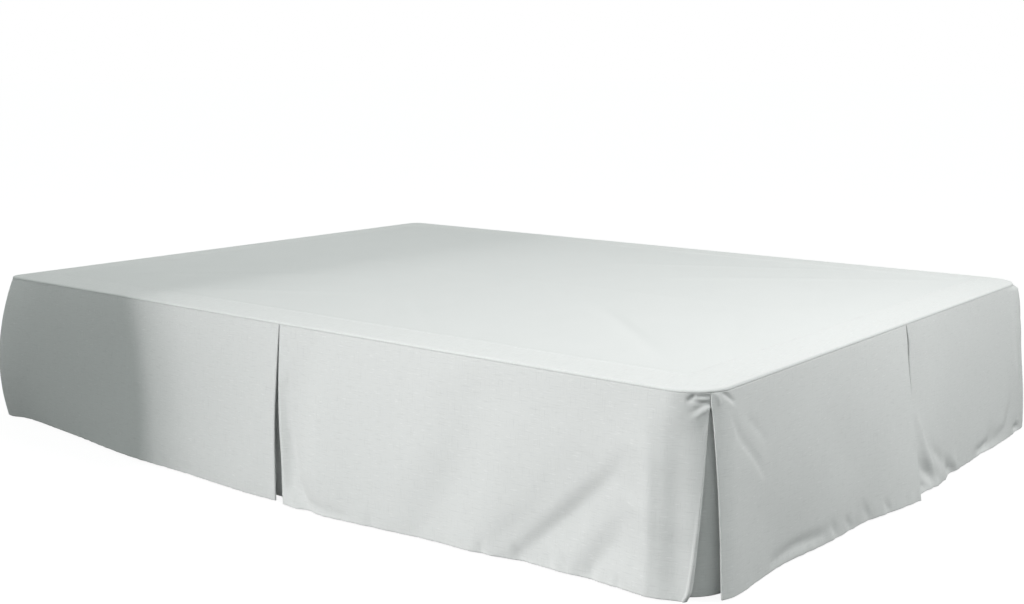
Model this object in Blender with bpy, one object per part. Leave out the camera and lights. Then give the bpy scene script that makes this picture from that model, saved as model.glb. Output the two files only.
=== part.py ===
"""A tailored bed skirt on a plain queen-size bed base.

Metres, +Z up, +Y toward the head of the bed. The part stands on the floor at Z = 0, and the
origin is under the middle of its whole outline. The skirt is a flat deck panel with three drops
that hang from its edge to just above the floor. Each drop is one sheet with inverted pleats.

Places along a drop are measured on the ring: the line of the deck's edge, seen from above, which
runs down the left side from the head, round the foot and back up the right side.
"""

import math
from bisect import bisect_right

import bmesh
import bpy
from mathutils import Vector

# The bed, and where its middle lies so that the flared skirt is centred on the origin
bed_width = 1.524
bed_length = 2.032
bed_centre = Vector((0.008, 0.016, 0.0))
corner_radius = 0.080
head_radius = 0.030
top_height = 0.360

# The cloth
cloth_thickness = 0.0012
piece_gap = 0.0003
seam_gap = 0.0008
rim_radius = 0.004
rim_lip = 0.001
hem_height = 0.006
pleat_depth = 0.075
head_return = 0.050
layer_step = 0.0026
inner_fold_ease = 1.6
trough_ends = (0.15, 0.85)
trough_start = 0.25

# The base that the skirt falls over
base_inset = 0.0080
base_height = 0.200
base_edge_radius = 0.018
rail_width = 0.038
rail_thickness = 0.004
rail_inset = 0.045
leg_radius = 0.016
leg_spread = 0.850
foot_radius = 0.026
foot_height = 0.014
foot_edge = 0.002

# How finely the shapes are divided, and the angle past which an edge is crisp
row_heights = (0.0, 0.08, 0.2, 0.34, 0.5, 0.66, 0.82, 0.92, 1.0)
panel_columns = {"left": 18, "foot": 12, "right": 12}
pleat_steps = {"middle": 3, "corner": 6}
fold_steps = 4
corner_steps = 5
head_turn_steps = 4
deck_corner_steps = {"head": 6, "foot": 8}
rim_steps = 3
base_corner_steps = 6
base_edge_steps = 3
leg_sides = 20
merge_distance = 0.00005
crisp_angle = 40

# Heights that follow from these
deck_height = top_height + piece_gap + cloth_thickness / 2
seam_height = deck_height - rim_radius - rim_lip
rail_top = top_height - base_height - piece_gap

# Distances along the ring
half_width = bed_width / 2
half_length = bed_length / 2
side_run = bed_length - corner_radius - head_radius
corner_run = math.pi / 2 * corner_radius
head_run = math.pi / 2 * head_radius
foot_run = bed_width - 2 * corner_radius
foot_middle = side_run + corner_run + foot_run / 2
ring_length = 2 * foot_middle

# How far each flat panel hangs out from the ring: columns are the place along the panel, and the
# distance out at half height and at the hem. Places run from the head on the sides, and from the
# middle of the foot, negative toward the left.
panel_flare = {
    "left_head": (
        (-0.060, 0.036, 0.026),
        (-0.020, 0.042, 0.031),
        (0.030, 0.034, 0.016),
        (0.120, 0.024, 0.019),
        (0.320, 0.027, 0.040),
        (0.510, 0.034, 0.062),
        (0.750, 0.037, 0.068),
        (0.910, 0.039, 0.075),
        (1.050, 0.039, 0.075),
    ),
    "left_foot": (
        (0.980, 0.042, 0.080),
        (1.070, 0.037, 0.077),
        (1.140, 0.044, 0.088),
        (1.240, 0.039, 0.077),
        (1.390, 0.033, 0.063),
        (1.550, 0.028, 0.053),
        (1.670, 0.023, 0.041),
        (1.800, 0.019, 0.035),
        (1.910, 0.021, 0.040),
        (2.000, 0.017, 0.034),
    ),
    "foot_left": (
        (-0.740, 0.016, 0.034),
        (-0.700, 0.016, 0.031),
        (-0.610, 0.012, 0.025),
        (-0.500, 0.012, 0.023),
        (-0.380, 0.018, 0.034),
        (-0.220, 0.021, 0.039),
        (-0.120, 0.029, 0.055),
        (0.020, 0.042, 0.077),
    ),
    "foot_right": (
        (-0.020, 0.025, 0.050),
        (0.060, 0.029, 0.058),
        (0.120, 0.031, 0.060),
        (0.290, 0.025, 0.048),
        (0.500, 0.026, 0.051),
        (0.620, 0.027, 0.046),
        (0.740, 0.026, 0.042),
    ),
    "right_foot": (
        (0.950, 0.034, 0.066),
        (1.110, 0.036, 0.071),
        (1.350, 0.030, 0.058),
        (1.610, 0.022, 0.045),
        (1.810, 0.022, 0.040),
        (2.000, 0.021, 0.038),
    ),
    "right_head": (
        (-0.060, 0.024, 0.018),
        (-0.020, 0.026, 0.020),
        (0.060, 0.022, 0.018),
        (0.360, 0.026, 0.043),
        (0.670, 0.033, 0.061),
        (1.030, 0.035, 0.068),
    ),
}

# The inverted pleats. A side's places are measured from its head, and the foot's from the left
# side's head. The rows of edges give, for a share of the height from the top, how far the
# opening's first and second edges stand from the pleat's place. The underlay hangs back from the
# panels by setback at the hem, and each front fold opens to its own size there, soft or crisp.
pleats = {
    "left_middle": {
        "place": 0.980,
        "edges": ((0.0, 0.0, 0.0), (0.5, 0.0225, 0.0345), (1.0, 0.057, 0.080)),
        "setback": 0.022,
        "first_fold": 0.004,
        "second_fold": 0.009,
    },
    "left_corner": {
        "place": side_run + 0.078,
        "edges": ((0.0, 0.0, 0.0), (0.06, 0.0, 0.001), (0.5, -0.0165, 0.0085), (1.0, -0.030, 0.009)),
        "setback": 0.014,
        "first_fold": 0.012,
        "second_fold": 0.004,
    },
    "foot_middle": {
        "place": foot_middle + 0.043,
        "edges": (
            (0.00, 0.000, 0.000),
            (0.10, -0.008, 0.0055),
            (0.17, -0.018, 0.002),
            (0.24, -0.025, -0.003),
            (0.32, -0.030, -0.006),
            (0.42, -0.035, -0.0125),
            (0.53, -0.040, -0.026),
            (0.75, -0.046, -0.039),
            (1.00, -0.052, -0.045),
        ),
        "setback": 0.018,
        "first_fold": 0.004,
        "second_fold": 0.006,
    },
    "right_corner": {
        "place": side_run + 0.060,
        "edges": ((0.0, 0.0, 0.0), (0.5, -0.008, 0.008), (1.0, -0.020, 0.022)),
        "setback": 0.024,
        "first_fold": 0.008,
        "second_fold": 0.006,
    },
    "right_middle": {
        "place": 0.986,
        "edges": ((0.0, 0.0, 0.0), (0.5, -0.006, 0.006), (1.0, -0.014, 0.014)),
        "setback": 0.020,
        "first_fold": 0.006,
        "second_fold": 0.005,
    },
}

# Soft troughs that sweep across a panel: where each starts and ends, as a place and a share of
# the height from the top, then how far it reaches to each side, and its depth
troughs = {
    "left_foot": (
        {"start": (1.870, 0.22), "end": (1.680, 0.88), "reach": 0.040, "depth": 0.0075},
        {"start": (1.868, 0.60), "end": (1.790, 0.97), "reach": 0.025, "depth": 0.004},
        {"start": (1.645, 0.24), "end": (1.460, 0.92), "reach": 0.046, "depth": 0.008},
        {"start": (1.060, 0.45), "end": (1.122, 1.10), "reach": 0.022, "depth": 0.006},
    ),
    "foot_left": (
        {"start": (-0.700, 0.02), "end": (-0.560, 0.60), "reach": 0.030, "depth": 0.005},
    ),
    "foot_right": (
        {"start": (0.030, 0.55), "end": (0.060, 1.10), "reach": 0.018, "depth": 0.007},
    ),
}


# ---------------------------------------------------------------- small sums


def through(top, middle, hem, height):
    """A smooth value that passes through three heights: the top, the half and the hem."""
    bend = 2 * (hem - 2 * middle + top)
    lean = 4 * middle - hem - 3 * top
    return top + lean * height + bend * height * height


def mix(first, second, share):
    return first + (second - first) * share


def spaced(first, last, count):
    """Evenly spaced values from first to last, both included."""
    return [mix(first, last, step / count) for step in range(count + 1)]


def read_table(rows, place):
    """The second and third columns of a table, on a smooth curve through its rows."""
    places = [row[0] for row in rows]
    place = min(max(place, places[0]), places[-1])
    after = min(max(bisect_right(places, place), 1), len(rows) - 1)
    left, right = rows[after - 1], rows[after]
    span = right[0] - left[0]
    share = (place - left[0]) / span
    values = []
    for column in (1, 2):
        slopes = []
        for at in (after - 1, after):
            before, beyond = max(at - 1, 0), min(at + 1, len(rows) - 1)
            rise = rows[beyond][column] - rows[before][column]
            slopes.append(rise / (rows[beyond][0] - rows[before][0]) * span)
        gap = right[column] - left[column]
        cubic = slopes[0] + slopes[1] - 2 * gap
        square = 3 * gap - 2 * slopes[0] - slopes[1]
        values.append(left[column] + share * (slopes[0] + share * (square + share * cubic)))
    return values


# ---------------------------------------------------------------- the ring and its panels


def ring_point(place, out=0.0):
    """The point at a place on the ring, moved outward, seen from above."""
    low, high = -half_length + corner_radius, half_length - head_radius
    far = half_width - corner_radius
    mirror = 1
    if place > foot_middle:
        mirror, place = -1, ring_length - place
    if place < 0:
        angle = -place / head_radius
        away = Vector((-math.cos(angle), math.sin(angle), 0))
        spot = Vector((head_radius - half_width, high, 0)) + away * (head_radius + out)
    elif place <= side_run:
        spot = Vector((-half_width - out, high - place, 0))
    elif place <= side_run + corner_run:
        angle = (place - side_run) / corner_radius
        away = Vector((-math.cos(angle), -math.sin(angle), 0))
        spot = Vector((-far, low, 0)) + away * (corner_radius + out)
    else:
        spot = Vector((place - foot_middle, -half_length - out, 0))
    spot.x *= mirror
    return spot + bed_centre


def from_head(panel, ring):
    """A place on the ring as the panel's own table measures it."""
    if panel.startswith("foot"):
        return ring - foot_middle
    return ring_length - ring if panel.startswith("right") else ring


def trough_depth(trough, place, height):
    """The depth of one trough at a place on its panel."""
    (start, top), (end, bottom) = trough["start"], trough["end"]
    drop = top_height - hem_height
    run, fall = end - start, (bottom - top) * drop
    length = math.hypot(run, fall)
    step, down = place - start, (height - top) * drop
    along = (step * run + down * fall) / length
    across = (step * fall - down * run) / length
    share = min(max(along / length, 0.0), 1.0)
    beyond = max(-along, along - length, 0.0)
    fade = math.sin(math.pi * mix(*trough_ends, share)) * min(height / trough_start, 1.0)
    return trough["depth"] * fade * math.exp(-(across**2 + beyond**2) / trough["reach"] ** 2)


def panel_out(panel, ring, height):
    """How far a panel hangs out from the ring at a height, with its soft troughs."""
    place = from_head(panel, ring)
    out = through(0.0, *read_table(panel_flare[panel], place), height)
    return out - sum(trough_depth(each, place, height) for each in troughs.get(panel, ()))


# ---------------------------------------------------------------- pleats


def fold(tip, outer, inner, turn):
    """A half-round fold from its outer layer to its inner one, closed toward its tip."""
    radius = (outer - inner) / 2
    points = []
    for angle in spaced(0.0, math.pi, fold_steps):
        place = tip - turn * radius * (1 - math.sin(angle))
        points.append((place, inner + radius * (1 + math.cos(angle))))
    return points


def return_layer(first, last, count):
    """The hidden layer between a front fold and an inner fold, both left out."""
    steps = spaced(0.0, 1.0, count)[1:-1]
    return [(mix(first[0], last[0], share), mix(first[1], last[1], share)) for share in steps]


def pleat_layers(name, before, after, height):
    """The two halves of a pleat at one height, as places on the ring and distances out.

    The first half runs from the front fold of the panel before it to the end of the underlay.
    The second runs from the next inner fold to the front fold of the panel after it.
    """
    pleat = pleats[name]
    way, ring = (-1, ring_length - pleat["place"]) if "right" in name else (1, pleat["place"])
    open_one, open_two = read_table(pleat["edges"], height)
    tip_one = ring + way * (open_one - layer_step / 2)
    tip_two = ring + way * (open_two + layer_step / 2)
    end_one, end_two = ring - way * pleat_depth, ring + way * pleat_depth
    size_one = mix(layer_step, pleat["first_fold"], height)
    size_two = mix(layer_step, pleat["second_fold"], height)
    size_in = mix(layer_step, inner_fold_ease * layer_step, height)
    setback = 2 * layer_step + pleat["setback"] * height
    out_one, out_two = panel_out(before, tip_one, height), panel_out(after, tip_two, height)
    back_one = panel_out(before, end_one, height) - setback
    back_two = panel_out(after, end_two, height) - setback
    nearest = min(out_one, out_two) - setback

    def underlay(place):
        level = mix(back_one, back_two, (place - end_one) / (end_two - end_one))
        return max(min(level, nearest), -2 * layer_step)

    count = pleat_steps[name.split("_")[1]]
    front = fold(tip_one, out_one, out_one - size_one, way)
    inner = fold(end_one, underlay(end_one) + size_in, underlay(end_one), -way)
    middle = [(place, underlay(place)) for place in spaced(end_one, end_two, 2 * count)[1:-1]]
    first = front + return_layer(front[-1], inner[0], count) + inner + middle

    front = fold(tip_two, out_two, out_two - size_two, -way)[::-1]
    inner = fold(end_two, underlay(end_two) + size_in, underlay(end_two), way)[::-1]
    second = inner + return_layer(inner[-1], front[0], count) + front
    return first, second


def part_at_seam(second):
    """Parts a pleat's second half in the middle of its inner fold, at the hidden seam."""
    middle = fold_steps // 2
    place, out = second[middle]
    near = [(place, out - seam_gap / 2)]
    far = [(place, out + seam_gap / 2)]
    return second[:middle] + near, far + second[middle + 1 :]


# ---------------------------------------------------------------- the drops


def panel_run(panel, start, end, count, height):
    """A flat panel's points between its two ends, both left out, closer on a round corner."""
    arc = (side_run, side_run + corner_run)
    bends = (*arc, ring_length - arc[0], ring_length - arc[1])
    bends = [place for place in bends if min(start, end) < place < max(start, end)]
    places = spaced(start, end, count)
    if bends:
        counts = (count, corner_steps)
        if abs(bends[0] - start) < abs(bends[0] - end):
            counts = counts[::-1]
        places = spaced(start, bends[0], counts[0]) + spaced(bends[0], end, counts[1])[1:]
    return [(ring, panel_out(panel, ring, height)) for ring in places[1:-1]]


def side_path(side, height):
    """A side drop's path at one height, from the head round to the seam behind the foot."""
    columns = panel_columns[side]
    turn, end = (0.0, -head_return) if side == "left" else (ring_length, ring_length + head_return)
    head, foot = f"{side}_head", f"{side}_foot"
    foot_panel = f"foot_{side}"
    first, second = pleat_layers(f"{side}_middle", head, foot, height)
    corner, rest = pleat_layers(f"{side}_corner", foot, foot_panel, height)
    path = [(ring, panel_out(head, ring, height)) for ring in spaced(end, turn, head_turn_steps)]
    path += panel_run(head, turn, first[0][0], columns, height)
    path += first + second
    path += panel_run(foot, second[-1][0], corner[0][0], columns, height)
    return path + corner + part_at_seam(rest)[0]


def foot_path(height):
    """The foot drop's path at one height, from the left seam to the right one."""
    columns = panel_columns["foot"]
    start = part_at_seam(pleat_layers("left_corner", "left_foot", "foot_left", height)[1])[1]
    end = part_at_seam(pleat_layers("right_corner", "right_foot", "foot_right", height)[1])[1]
    first, second = pleat_layers("foot_middle", "foot_left", "foot_right", height)
    path = start + panel_run("foot_left", start[-1][0], first[0][0], columns, height)
    path += first + second
    path += panel_run("foot_right", second[-1][0], end[-1][0], columns, height)
    return path + end[::-1]


def hang(path_at):
    """The rows of points of a drop, from its seam with the deck down to the hem."""
    rows = []
    for height in row_heights:
        level = mix(seam_height - piece_gap, hem_height, height)
        rows.append([ring_point(*point) + Vector((0, 0, level)) for point in path_at(height)])
    return rows


# ---------------------------------------------------------------- building


def make_material(name, color, roughness, metallic=0.0):
    material = bpy.data.materials.new(name)
    material.use_nodes = True
    shader = material.node_tree.nodes["Principled BSDF"]
    shader.inputs["Base Color"].default_value = (*color, 1.0)
    shader.inputs["Roughness"].default_value = roughness
    shader.inputs["Metallic"].default_value = metallic
    return material


def add_object(name, bm, material, smooth=True):
    """Makes a named object from a bmesh, smooth but for its crisp edges unless told otherwise."""
    mesh = bpy.data.meshes.new(name)
    bm.to_mesh(mesh)
    bm.free()
    mesh.materials.append(material)
    if smooth:
        mesh.shade_smooth()
        mesh.set_sharp_from_angle(angle=math.radians(crisp_angle))
    thing = bpy.data.objects.new(name, mesh)
    bpy.context.scene.collection.objects.link(thing)
    return thing


def grow_sheet(rows, closed=False):
    """A sheet grown by extruding a chain of edges through rows of points, and its last chain."""
    bm = bmesh.new()
    chain = [bm.verts.new(point) for point in rows[0]]
    ends = chain[1:] + chain[:1] if closed else chain[1:]
    edges = [bm.edges.new(pair) for pair in zip(chain, ends)]
    for row in rows[1:]:
        grown = bmesh.ops.extrude_edge_only(bm, edges=edges)["geom"]
        fresh = {item for item in grown if isinstance(item, bmesh.types.BMVert)}
        edges = [item for item in grown if isinstance(item, bmesh.types.BMEdge)]
        edges = [edge for edge in edges if all(vert in fresh for vert in edge.verts)]
        chain = [
            next(edge.other_vert(vert) for edge in vert.link_edges if edge.other_vert(vert) in fresh)
            for vert in chain
        ]
        for vert, point in zip(chain, row):
            vert.co = point
    return bm, chain


def thicken(thing):
    """Gives a sheet the cloth's thickness, half to each side."""
    solidify = thing.modifiers.new("Cloth", "SOLIDIFY")
    solidify.thickness = cloth_thickness
    solidify.offset = 0.0
    solidify.use_even_offset = True


def build_drop(name, path_at, material):
    bm, _ = grow_sheet(hang(path_at))
    thicken(add_object(name, bm, material))


def build_deck(material):
    """The flat panel on the base, turned down over its edge to the seam."""
    places = spaced(-head_run, 0, deck_corner_steps["head"])
    places += spaced(side_run, side_run + corner_run, deck_corner_steps["foot"])
    places += [ring_length - place for place in places[::-1]]
    rows = [[ring_point(place) + Vector((0, 0, seam_height)) for place in places]]
    for angle in spaced(0.0, math.pi / 2, rim_steps):
        out = rim_radius * (math.cos(angle) - 1)
        level = deck_height - rim_radius * (1 - math.sin(angle))
        rows.append([ring_point(place, out) + Vector((0, 0, level)) for place in places])
    bm, chain = grow_sheet(rows, closed=True)
    bm.faces.new(chain)
    bmesh.ops.recalc_face_normals(bm, faces=bm.faces)
    thicken(add_object("deck", bm, material))


def rise(edge):
    """How far one end of an edge stands above the other."""
    return abs(edge.verts[0].co.z - edge.verts[1].co.z)


def round_off(bm, edges, radius, steps):
    bmesh.ops.bevel(
        bm,
        geom=edges,
        offset=radius,
        segments=steps,
        profile=0.5,
        affect="EDGES",
        material=-1,
    )


def build_base(material):
    """The box spring: a block with round corners and soft edges."""
    bm = bmesh.new()
    bmesh.ops.create_cube(bm, size=1.0)
    size = (bed_width - 2 * base_inset, bed_length - 2 * base_inset, base_height)
    bmesh.ops.scale(bm, vec=size, verts=bm.verts)
    upright = [edge for edge in bm.edges if rise(edge) > base_height / 2]
    for radius, end in ((corner_radius - base_inset, -1), (head_radius - base_inset, 1)):
        edges = [edge for edge in upright if edge.is_valid and edge.verts[0].co.y * end > 0]
        round_off(bm, edges, radius, base_corner_steps)
    rims = [edge for edge in bm.edges if rise(edge) < merge_distance]
    round_off(bm, rims, base_edge_radius, base_edge_steps)
    base = add_object("box_spring", bm, material)
    base.location = bed_centre + Vector((0, 0, top_height - base_height / 2))


def build_rail(name, length, spot, turn, material):
    """A steel angle with its flat flange on top and the other hanging down on its outer side.

    Its outer side faces -X before it is turned, and it runs along Y.
    """
    width, thick = rail_width, rail_thickness
    outline = ((0, 0), (0, -width), (thick, -width), (thick, -thick), (width, -thick), (width, 0))
    bm = bmesh.new()
    corners = [bm.verts.new((across, -length / 2, up)) for across, up in outline]
    section = bm.faces.new(corners)
    grown = bmesh.ops.extrude_face_region(bm, geom=[section])["geom"]
    moved = [item for item in grown if isinstance(item, bmesh.types.BMVert)]
    bmesh.ops.translate(bm, vec=(0, length, 0), verts=moved)
    bmesh.ops.recalc_face_normals(bm, faces=bm.faces)
    rail = add_object(name, bm, material, smooth=False)
    rail.location = spot
    rail.rotation_euler.z = turn


def build_leg(name, spot, material):
    """A round leg on a wide foot, turned from its profile."""
    top = rail_top - rail_thickness - piece_gap
    profile = (
        (0.0, 0.0),
        (foot_radius - foot_edge, 0.0),
        (foot_radius, foot_edge),
        (foot_radius, foot_height - foot_edge),
        (leg_radius, foot_height + foot_edge),
        (leg_radius, top),
        (0.0, top),
    )
    bm = bmesh.new()
    verts = [bm.verts.new((radius, 0, level)) for radius, level in profile]
    edges = [bm.edges.new(pair) for pair in zip(verts, verts[1:])]
    bmesh.ops.spin(
        bm,
        geom=verts + edges,
        axis=(0, 0, 1),
        cent=(0, 0, 0),
        angle=2 * math.pi,
        steps=leg_sides,
    )
    bmesh.ops.remove_doubles(bm, verts=bm.verts, dist=merge_distance)
    bmesh.ops.recalc_face_normals(bm, faces=bm.faces)
    leg = add_object(name, bm, material)
    leg.location = spot


def build_frame(rail_paint, leg_paint):
    """Two side rails, three cross rails between them, and seven legs."""
    side = half_width - base_inset - rail_inset
    length = bed_length - 2 * base_inset - 2 * rail_inset
    for name, sign, turn in (("left", -1, 0), ("right", 1, math.pi)):
        spot = bed_centre + Vector((sign * side, 0, rail_top))
        build_rail(f"side_rail_{name}", length, spot, turn, rail_paint)
    between = 2 * (side - rail_width - piece_gap)
    ways = {"foot": -length / 2, "middle": -rail_width / 2, "head": length / 2 - rail_width}
    stand_off = rail_thickness + piece_gap + leg_radius
    for name, place in ways.items():
        spot = bed_centre + Vector((0, place, rail_top))
        build_rail(f"cross_rail_{name}", between, spot, math.pi / 2, rail_paint)
    centre = Vector((0, ways["middle"] + stand_off, 0))
    build_leg("leg_centre", bed_centre + centre, leg_paint)
    for name, along in (("foot", -leg_spread), ("middle", 0.0), ("head", leg_spread)):
        for hand, sign in (("left", -1), ("right", 1)):
            spot = bed_centre + Vector((sign * (side - stand_off), along, 0))
            build_leg(f"leg_{name}_{hand}", spot, leg_paint)


def main():
    for thing in list(bpy.data.objects):
        bpy.data.objects.remove(thing, do_unlink=True)
    drop_cloth = make_material("drop_cloth", (0.78, 0.80, 0.79), 0.85)
    deck_cloth = make_material("deck_cloth", (0.80, 0.81, 0.80), 0.9)
    ticking = make_material("ticking", (0.70, 0.70, 0.68), 0.9)
    rail_paint = make_material("rail_paint", (0.06, 0.06, 0.07), 0.5)
    leg_paint = make_material("leg_paint", (0.04, 0.04, 0.04), 0.45)
    build_deck(deck_cloth)
    build_drop("side_drop_left", lambda height: side_path("left", height), drop_cloth)
    build_drop("foot_drop", foot_path, drop_cloth)
    build_drop("side_drop_right", lambda height: side_path("right", height), drop_cloth)
    build_base(ticking)
    build_frame(rail_paint, leg_paint)


main()
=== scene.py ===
import math
from bisect import bisect_right

import bmesh
import bpy
from mathutils import Matrix, Vector, noise


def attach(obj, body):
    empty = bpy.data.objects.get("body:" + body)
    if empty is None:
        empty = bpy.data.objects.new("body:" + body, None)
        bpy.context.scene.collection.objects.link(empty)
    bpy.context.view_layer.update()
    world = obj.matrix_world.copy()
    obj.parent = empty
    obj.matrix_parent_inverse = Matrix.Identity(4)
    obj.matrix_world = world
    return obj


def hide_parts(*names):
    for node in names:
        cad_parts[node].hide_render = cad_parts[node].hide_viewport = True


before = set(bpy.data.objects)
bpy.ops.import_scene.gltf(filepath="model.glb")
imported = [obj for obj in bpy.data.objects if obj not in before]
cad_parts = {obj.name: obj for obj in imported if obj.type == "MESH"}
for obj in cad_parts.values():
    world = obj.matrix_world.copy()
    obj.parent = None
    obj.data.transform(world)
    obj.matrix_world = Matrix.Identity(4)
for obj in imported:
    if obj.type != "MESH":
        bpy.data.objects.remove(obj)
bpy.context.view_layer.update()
print("frame loaded")

# The bed that the skirt is cut for, in metres
bed = {
    "width": 1.524,
    "length": 2.032,
    "centre": Vector((0.008, 0.016, 0.0)),
    "footCorner": 0.080,
    "headCorner": 0.030,
    "top": 0.360,
}
halfWidth = bed["width"] / 2
halfLength = bed["length"] / 2

# The ring is the deck's edge seen from above: down the left side from the head, round the foot
# and back up the right side
sideRun = bed["length"] - bed["footCorner"] - bed["headCorner"]
cornerRun = math.pi / 2 * bed["footCorner"]
headRun = math.pi / 2 * bed["headCorner"]
footMiddle = sideRun + cornerRun + bed["width"] / 2 - bed["footCorner"]
ringLength = 2 * footMiddle


def mix(first, last, share):
    return first + (last - first) * share


def spaced(first, last, count):  # evenly spaced values, both ends included
    return [mix(first, last, step / count) for step in range(count + 1)]


def through(top, middle, hem, height):  # a smooth value through the top, half height and hem
    bend = 2 * (hem - 2 * middle + top)
    lean = 4 * middle - hem - 3 * top
    return top + lean * height + bend * height * height


def ringPoint(place, out=0.0):
    low, high = -halfLength + bed["footCorner"], halfLength - bed["headCorner"]
    mirror = 1
    if place > footMiddle:
        mirror, place = -1, ringLength - place
    if place < 0:
        angle = -place / bed["headCorner"]
        away = Vector((-math.cos(angle), math.sin(angle), 0))
        spot = Vector((bed["headCorner"] - halfWidth, high, 0)) + away * (bed["headCorner"] + out)
    elif place <= sideRun:
        spot = Vector((-halfWidth - out, high - place, 0))
    elif place <= sideRun + cornerRun:
        angle = (place - sideRun) / bed["footCorner"]
        away = Vector((-math.cos(angle), -math.sin(angle), 0))
        spot = Vector((bed["footCorner"] - halfWidth, low, 0)) + away * (bed["footCorner"] + out)
    else:
        spot = Vector((place - footMiddle, -halfLength - out, 0))
    spot.x *= mirror
    return spot + bed["centre"]


class Wire:  # an output socket that sums can be written with
    def __init__(self, finish, socket):
        self.finish = finish
        self.socket = socket

    def of(self, name):  # another output of the same node
        return Wire(self.finish, self.socket.node.outputs[name])

    def __add__(self, other):
        return self.finish.sum("ADD", self, other)

    def __sub__(self, other):
        return self.finish.sum("SUBTRACT", self, other)

    def __rsub__(self, other):
        return self.finish.sum("SUBTRACT", other, self)

    def __mul__(self, other):
        return self.finish.sum("MULTIPLY", self, other)

    __radd__ = __add__
    __rmul__ = __mul__


class Finish:  # a node material, or the world's own nodes
    def __init__(self, name, tree=None):
        self.material = None
        if tree is None:
            self.material = bpy.data.materials.new(name)
            self.material.use_nodes = True
            tree = self.material.node_tree
        self.tree = tree
        self.tree.nodes.clear()

    def node(self, kind, settings=None, values=None, out=0):
        made = self.tree.nodes.new(kind)
        for key, value in (settings or {}).items():
            if key == "stops":
                for stop, (place, shade) in zip(made.color_ramp.elements, value):
                    stop.position = place
                    stop.color = (shade, shade, shade, 1)
            else:
                setattr(made, key, value)
        for key, value in (values or {}).items():
            socket = made.inputs[key]
            if isinstance(value, Wire):
                self.tree.links.new(value.socket, socket)
            elif isinstance(value, tuple) and socket.type == "RGBA":
                socket.default_value = (*value[:3], 1)
            else:
                socket.default_value = value
        return Wire(self, made.outputs[out]) if made.outputs else made

    def sum(self, operation, *values):
        return self.node("ShaderNodeMath", {"operation": operation}, dict(enumerate(values)))

    def blend(self, share, first, second, way="MIX"):
        settings = {"data_type": "RGBA", "blend_type": way, "clamp_factor": True}
        return self.node("ShaderNodeMix", settings, {0: share, 6: first, 7: second}, out=2)

    def between(self, value, low, high):  # 0 under low, 1 over high
        ends = {"Value": value, "From Min": low, "From Max": high}
        return self.node("ShaderNodeMapRange", {"interpolation_type": "SMOOTHSTEP"}, ends)

    def grain(self, vector, scale, detail=2.0, size=1.0):
        stretched = self.node("ShaderNodeMapping", values={"Vector": vector, "Scale": scale})
        return self.node("ShaderNodeTexNoise", values={"Vector": stretched, "Scale": size, "Detail": detail})

    def bumped(self, height, distance, strength=1.0):
        values = {"Height": height, "Distance": distance, "Strength": strength}
        return self.node("ShaderNodeBump", values=values)

    def done(self, **sockets):
        values = {key.replace("_", " "): value for key, value in sockets.items()}
        shader = self.node("ShaderNodeBsdfPrincipled", values=values)
        self.node("ShaderNodeOutputMaterial", values={"Surface": shader})
        return self.material


skirtCloth = {
    "colour": (0.812, 0.822, 0.817),
    "slubColour": (0.713, 0.722, 0.718),
    "brightColour": (0.885, 0.892, 0.889),
    "mottleColour": (0.790, 0.800, 0.795),
    "thread": 0.00055,
    "stitch": 0.0034,
    "stitchLine": 0.0155,
    "roughness": 0.72,
}


def weaveOf(cloth, u, v, thread):
    warp = cloth.sum("SINE", u * (2 * math.pi / thread))
    weft = cloth.sum("SINE", v * (2 * math.pi / thread))
    return warp * weft


def skirtClothFinish():
    look = skirtCloth
    cloth = Finish("skirtCloth")
    uv = cloth.node("ShaderNodeUVMap", {"uv_map": "cloth"})
    parts = cloth.node("ShaderNodeSeparateXYZ", values={0: uv})
    u, v = parts.of("X"), parts.of("Y")
    weave = weaveOf(cloth, u, v, look["thread"])
    alongSlub = cloth.between(cloth.grain(uv, (38, 430, 1), 3.0), 0.52, 0.74)
    downSlub = cloth.between(cloth.grain(uv, (430, 34, 1), 3.0), 0.54, 0.76)
    brightSlub = cloth.between(cloth.grain(uv, (60, 350, 1), 2.0), 0.59, 0.74)
    mottle = cloth.grain(uv, (30, 30, 1), 4.0)
    stitchHere = cloth.between(cloth.sum("SINE", u * (2 * math.pi / look["stitch"])), -0.5, 0.1)
    lineAway = cloth.sum("ABSOLUTE", v - look["stitchLine"])
    stitch = (1 - cloth.between(lineAway, 0.0003, 0.0008)) * stitchHere
    pale = cloth.blend(mottle * 0.5, look["colour"], look["mottleColour"])
    tone = cloth.blend(alongSlub * 0.58 + downSlub * 0.52, pale, look["slubColour"])
    tone = cloth.blend(brightSlub * 0.85, tone, look["brightColour"])
    height = weave * 0.30 + alongSlub * 0.5 + downSlub * 0.4 + brightSlub * 0.6 - stitch * 0.22
    rough = look["roughness"] + mottle * 0.08
    return cloth.done(
        Base_Color=tone,
        Roughness=rough,
        Normal=cloth.bumped(height, 0.00016, 0.7),
        Specular_IOR_Level=0.25,
        Sheen_Weight=0.18,
        Sheen_Roughness=0.45,
    )


deckCloth = {
    "colour": (0.83, 0.84, 0.835),
    "mottleColour": (0.775, 0.79, 0.785),
    "thread": 0.0008,
    "roughness": 0.85,
}


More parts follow.
